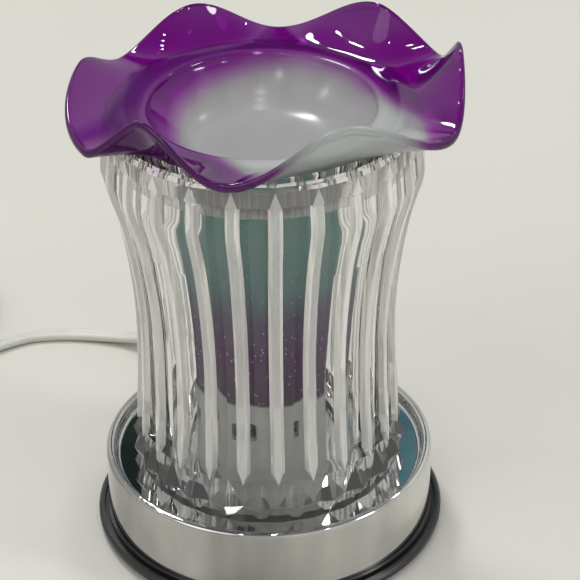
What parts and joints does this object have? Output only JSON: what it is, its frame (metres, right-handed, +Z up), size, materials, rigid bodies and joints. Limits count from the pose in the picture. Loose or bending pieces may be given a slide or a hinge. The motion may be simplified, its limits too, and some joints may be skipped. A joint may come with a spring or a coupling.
{
  "type": "wax melt warmer",
  "caption": "Electric wax melt warmer: a ruffled glass dish on a ribbed cut-glass shade over a tinted sleeve and capsule bulb, on a round chromed base with a mains cord.",
  "frame": {"origin": "on the surface that the warmer stands on, under the middle of its round base", "axes": "+Z up, -Y towards the front of the warmer, +X to its right as seen from the front; the cord leaves at the back"},
  "size_m": [0.2424, 0.2115, 0.1643],
  "materials": {
    "ruffled_glass": "polished, violet at the rim and clear in the bowl",
    "cut_glass": "clear, cut and polished",
    "tinted_glass": "tinted, teal grey above and purple below",
    "grey_plastic": "satin moulded",
    "zinc_steel": "zinc plated",
    "bulb_glass": "clear quartz",
    "filament_metal": "drawn wire",
    "socket_ceramic": "unglazed white",
    "contact_brass": "sprung strip",
    "lead_sleeve": "insulated wire",
    "chrome": "mirror plated",
    "black_plastic": "satin moulded",
    "pad_rubber": "soft matt",
    "board_laminate": "coated laminate",
    "component_plastic": "moulded",
    "white_plastic": "soft moulded vinyl",
    "cord_vinyl": "soft vinyl",
    "tie_plastic": "moulded strap",
    "blade_brass": "nickelled"
  },
  "bodies": {
    "base": {"lamp_cup": "grey_plastic", "cup_screws": "zinc_steel", "cup_washers": "zinc_steel", "lamp_socket": "socket_ceramic", "socket_contacts": "contact_brass", "socket_bracket": "zinc_steel", "bracket_screws": "zinc_steel", "socket_leads": "lead_sleeve", "base_cover": "chrome", "base_posts": "zinc_steel", "base_pan": "black_plastic", "pan_screws": "zinc_steel", "foot_pads": "pad_rubber", "touch_board": "board_laminate", "board_screws": "zinc_steel", "board_components": "component_plastic", "sense_lead": "lead_sleeve", "supply_leads": "lead_sleeve", "cord_bushing": "white_plastic", "power_cord": "cord_vinyl", "cord_coil": "cord_vinyl", "cord_tie": "tie_plastic", "plug_body": "white_plastic", "plug_blades": "blade_brass"},
    "shade": {"glass_shade": "cut_glass"},
    "dish": {"dish": "ruffled_glass"},
    "sleeve": {"colour_sleeve": "tinted_glass"},
    "bulb": {"bulb_envelope": "bulb_glass", "bulb_filament": "filament_metal", "bulb_pins": "zinc_steel"}
  },
  "joints": [
    {"name": "shade_lift", "type": "slide", "parent": "base", "child": "shade", "axis": [0, 0, 1], "range_m": [0, 0.1]},
    {"name": "dish_lift", "type": "slide", "parent": "shade", "child": "dish", "axis": [0, 0, 1], "range_m": [0, 0.03]},
    {"name": "sleeve_lift", "type": "slide", "parent": "base", "child": "sleeve", "axis": [0, 0, 1], "range_m": [0, 0.0065]},
    {"name": "bulb_pull", "type": "slide", "parent": "base", "child": "bulb", "axis": [0, 0, 1], "range_m": [0, 0.012]}
  ]
}
